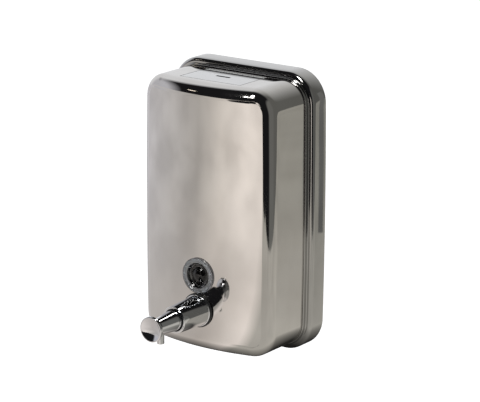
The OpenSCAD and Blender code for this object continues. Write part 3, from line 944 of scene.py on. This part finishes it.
def build_world():
    """White for what the camera sees, and the room for everything else."""
    world = bpy.data.worlds.new("studio")
    bpy.context.scene.world = world
    world.use_nodes = True
    tree = world.node_tree
    tree.nodes.clear()
    lit = tree.nodes.new("ShaderNodeBackground")
    tree.links.new(room_colour(tree), lit.inputs["Color"])
    seen = tree.nodes.new("ShaderNodeBackground")
    seen.inputs["Color"].default_value = (1, 1, 1, 1)
    path = tree.nodes.new("ShaderNodeLightPath")
    mix = tree.nodes.new("ShaderNodeMixShader")
    out = tree.nodes.new("ShaderNodeOutputWorld")
    tree.links.new(path.outputs["Is Camera Ray"], mix.inputs["Fac"])
    tree.links.new(lit.outputs["Background"], mix.inputs[1])
    tree.links.new(seen.outputs["Background"], mix.inputs[2])
    tree.links.new(mix.outputs["Shader"], out.inputs["Surface"])


build_world()


def glow_material(name, paint):
    """A glowing surface; paint returns its colour and strength from the place in the room."""
    mat = bpy.data.materials.new(name)
    mat.use_nodes = True
    tree = mat.node_tree
    tree.nodes.clear()
    glow = tree.nodes.new("ShaderNodeEmission")
    out = tree.nodes.new("ShaderNodeOutputMaterial")
    where = tree.nodes.new("ShaderNodeNewGeometry")
    colour, strength = paint(tree, where.outputs["Position"])
    feed(tree, glow.inputs["Color"], colour)
    feed(tree, glow.inputs["Strength"], strength)
    tree.links.new(glow.outputs["Emission"], out.inputs["Surface"])
    return mat


def reflector(name, corners, paint):
    """A card that only shows in reflections."""
    mesh = bpy.data.meshes.new(name)
    mesh.from_pydata(corners, [], [tuple(range(len(corners)))])
    card = bpy.data.objects.new(name, mesh)
    bpy.context.scene.collection.objects.link(card)
    card.data.materials.append(glow_material(name, paint))
    card.visible_camera = False
    card.visible_diffuse = False
    card.visible_shadow = False


# The glow that paints the lit table, by angle in degrees from straight in front, positive to the right,
# far from the dispenser and near it, and the distances in metres over which one becomes the other. It is
# painted light.
FAR_TONES = [
    (-180, (0.65, 0.65, 0.69)),
    (-80, (0.73, 0.72, 0.755)),
    (-52, (0.65, 0.63, 0.62)),
    (-34, (0.53, 0.505, 0.475)),
    (-18, (0.84, 0.78, 0.72)),
    (-6, (1.08, 1.0, 0.93)),
    (7, (1.08, 1.0, 0.93)),
    (14, (0.44, 0.42, 0.38)),
    (140, (0.39, 0.38, 0.34)),
]
# Near the dispenser the front is dimmer: painted shade of the dispenser on the table.
NEAR_TONES = [
    (-180, (0.66, 0.66, 0.68)),
    (-80, (0.70, 0.68, 0.68)),
    (-52, (0.66, 0.63, 0.61)),
    (-18, (0.66, 0.61, 0.57)),
    (-6, (0.80, 0.74, 0.69)),
    (7, (1.05, 0.97, 0.91)),
    (14, (0.60, 0.58, 0.53)),
    (140, (0.54, 0.52, 0.47)),
]
NEAR_REACH, FAR_REACH = 0.20, 0.55

# The share of light left on the table under the dispenser, and the distances in metres over
# which it comes back.
CONTACT_SHADE = 0.04
CONTACT_NEAR, CONTACT_FAR = 0.122, 0.150
MOTTLE_SCALE = 6.5
MOTTLE_LOW, MOTTLE_HIGH = 0.88, 1.08


def round_table(tree, turn, tones):
    """Colours by angle, where turn goes from 0 to 1 as the angle goes from -180 to 180."""
    return ramp(tree, turn, [((angle + 180) / 360, tone) for angle, tone in tones])


def paint_table(tree, position):
    """Painted light of the lit table: warm and bright in front, cooler to the left, and dim and greenish
    to the right, with a painted shadow under the dispenser.
    """
    x, y, _ = axes(tree, position)
    azimuth = maths(tree, "ARCTAN2", x, maths(tree, "MULTIPLY", y, -1))
    turn = remap(tree, azimuth, -math.pi, math.pi, 0, 1)
    distance = vector_length(tree, position)
    reach = remap(tree, distance, NEAR_REACH, FAR_REACH, 0, 1)
    near, far = round_table(tree, turn, NEAR_TONES), round_table(tree, turn, FAR_TONES)
    # Painted shadow of the dispenser on the table, darkest right under it.
    painted_contact_shadow = remap(tree, distance, CONTACT_NEAR, CONTACT_FAR, CONTACT_SHADE, 1)
    noise = tree.nodes.new("ShaderNodeTexNoise")
    noise.inputs["Scale"].default_value = MOTTLE_SCALE
    noise.inputs["Detail"].default_value = 2
    tree.links.new(position, noise.inputs["Vector"])
    mottle = remap(tree, noise.outputs["Fac"], 0.35, 0.65, MOTTLE_LOW, MOTTLE_HIGH)
    return blend_colour(tree, reach, near, far), maths(tree, "MULTIPLY", painted_contact_shadow, mottle)


FLAG_LOW, FLAG_TOP = -0.05, 0.12
FLAG_BRIGHT_Z = 0.1


def paint_flag(tree, position):
    """A dark flag, a little lighter towards its top."""
    _, _, z = axes(tree, position)
    height = remap(tree, z, FLAG_LOW, FLAG_BRIGHT_Z, 0, 1)
    return ramp(tree, height, [(0, (0.17, 0.17, 0.163)), (1, (0.22, 0.22, 0.21))]), 1


# Corners in metres. The table's right edge is cut back to leave the dark between front and side.
TABLE_Z = -0.112
TABLE_OUTLINE = [(-6, -6), (0.89, -6), (0.12, -0.524), (0.40, -0.09), (4.6, 6), (-6, 6)]
FLAG_REAR, FLAG_FRONT = (0.123, 0.1035), (0.1374, 0.0935)
reflector("table_card", [(x, y, TABLE_Z) for x, y in TABLE_OUTLINE], paint_table)
reflector(
    "side_flag",
    [(*FLAG_REAR, FLAG_LOW), (*FLAG_FRONT, FLAG_LOW), (*FLAG_FRONT, FLAG_TOP), (*FLAG_REAR, FLAG_TOP)],
    paint_flag,
)


LIT_POINT = Vector((0, -0.06, 0))


def softbox(name, azimuth, elevation, distance, size, power, colour):
    """A rectangular lamp that faces the dispenser."""
    light = bpy.data.lights.new(name, "AREA")
    light.shape = "RECTANGLE"
    light.size, light.size_y = size
    light.energy = power
    light.color = colour
    obj = bpy.data.objects.new(name, light)
    toward = direction(azimuth, elevation)
    obj.location = LIT_POINT + toward * distance
    obj.rotation_mode = "QUATERNION"
    obj.rotation_quaternion = toward.to_track_quat("Z", "Y")
    bpy.context.scene.collection.objects.link(obj)


softbox(
    "key_softbox",
    azimuth=-3,
    elevation=43,
    distance=1.3,
    size=(0.24, 0.50),
    power=4.5,
    colour=(1, 0.99, 0.97),
)
softbox(
    "left_lamp",
    azimuth=-44,
    elevation=24,
    distance=1.6,
    size=(0.16, 0.06),
    power=0.10,
    colour=(1, 0.9, 0.76),
)


def build_floor():
    """A pale floor well below the dispenser, which glows a little."""
    mesh = bpy.data.meshes.new("floor")
    half, z = 30.0, -0.6
    corners = [(-half, -half, z), (half, -half, z), (half, half, z), (-half, half, z)]
    mesh.from_pydata(corners, [], [(0, 1, 2, 3)])
    floor = bpy.data.objects.new("floor", mesh)
    bpy.context.scene.collection.objects.link(floor)
    mat, _, shader = node_tree("pale_floor")
    shader.inputs["Base Color"].default_value = (0.9, 0.9, 0.9, 1)
    shader.inputs["Roughness"].default_value = 0.8
    shader.inputs["Emission Color"].default_value = (1, 1, 1, 1)
    shader.inputs["Emission Strength"].default_value = 0.85
    floor.data.materials.append(mat)
    floor.visible_glossy = False


build_floor()
bpy.context.scene.view_settings.view_transform = "Standard"
